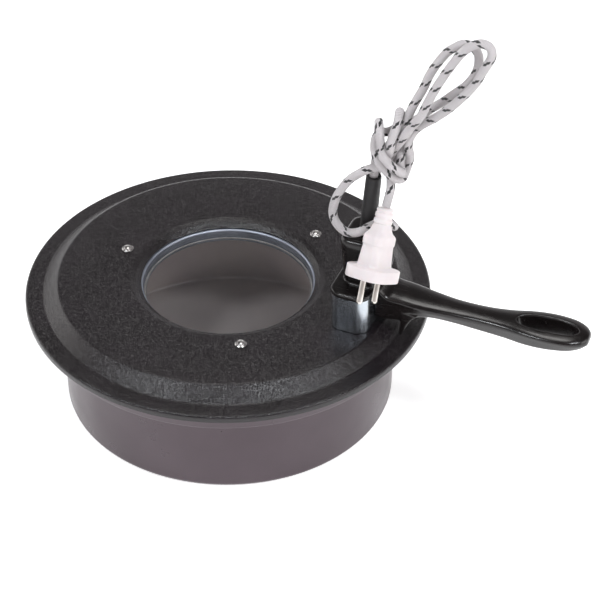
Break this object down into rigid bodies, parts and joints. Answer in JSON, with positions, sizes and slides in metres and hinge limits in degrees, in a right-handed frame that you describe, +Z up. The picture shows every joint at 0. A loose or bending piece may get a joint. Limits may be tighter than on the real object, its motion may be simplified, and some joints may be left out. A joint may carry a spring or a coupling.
{
  "type": "electric lidded melting pan",
  "caption": "Round electric pan with a heated lid, glass viewing window, side handle and knotted braided mains cord, for melting or baking.",
  "frame": {"origin": "centre of the pan's flat underside", "axes": "+X from the centre along the handle, +Z up"},
  "size_m": [0.453, 0.32, 0.3659],
  "materials": {
    "pan_enamel": "satin dark enamel on pressed sheet",
    "lid_enamel": "semi-gloss black enamel with a fine orange-peel surface",
    "zinc": "bright zinc-plated sheet",
    "seal": "woven heat-resistant tape",
    "glass": "clear heat-resistant glass",
    "aluminium": "bright pressed sheet",
    "wool": "mineral wool",
    "heater": "oxidised heater sheath",
    "ceramic": "unglazed ceramic",
    "steel": "plated steel",
    "bakelite": "moulded black phenolic",
    "rubber": "smooth black rubber",
    "braid": "white cotton braid with black flecks",
    "wire": "insulated wire",
    "plug_plastic": "moulded white plastic, satin",
    "nickel": "nickel-plated brass"
  },
  "bodies": {
    "pan": {"pan": "pan_enamel"},
    "lid": {"lid_cover": "lid_enamel", "window_collar": "zinc", "window_seal": "seal", "window_glass": "glass", "reflector": "aluminium", "insulation_ring": "wool", "heating_element": "heater", "element_support_1": "ceramic", "element_support_2": "ceramic", "element_support_3": "ceramic", "lid_screw_1": "steel", "lid_screw_2": "steel", "lid_screw_3": "steel", "lid_nut_1": "steel", "lid_nut_2": "steel", "lid_nut_3": "steel", "lid_spacer_1": "steel", "lid_spacer_2": "steel", "lid_spacer_3": "steel", "heat_sleeve": "zinc", "handle": "bakelite", "handle_bolt_1": "steel", "handle_bolt_2": "steel", "root_screw": "nickel", "terminal_block": "ceramic", "terminal_screw_1": "nickel", "terminal_screw_2": "nickel", "mains_lead_1": "wire", "mains_lead_2": "wire", "heater_lead_1": "wire", "heater_lead_2": "wire", "strain_relief": "rubber", "cord_root": "braid", "cord_knot": "braid", "cord_loop_outer": "braid", "cord_loop_inner": "braid", "cord_loop_lower": "braid", "cord_plug_lead": "braid", "plug_body": "plug_plastic", "plug_pin_1": "nickel", "plug_pin_2": "nickel"}
  },
  "joints": [
    {"name": "lid_lift", "type": "slide", "parent": "pan", "child": "lid", "axis": [0, 0, 1], "range_m": [0, 0.12]}
  ]
}
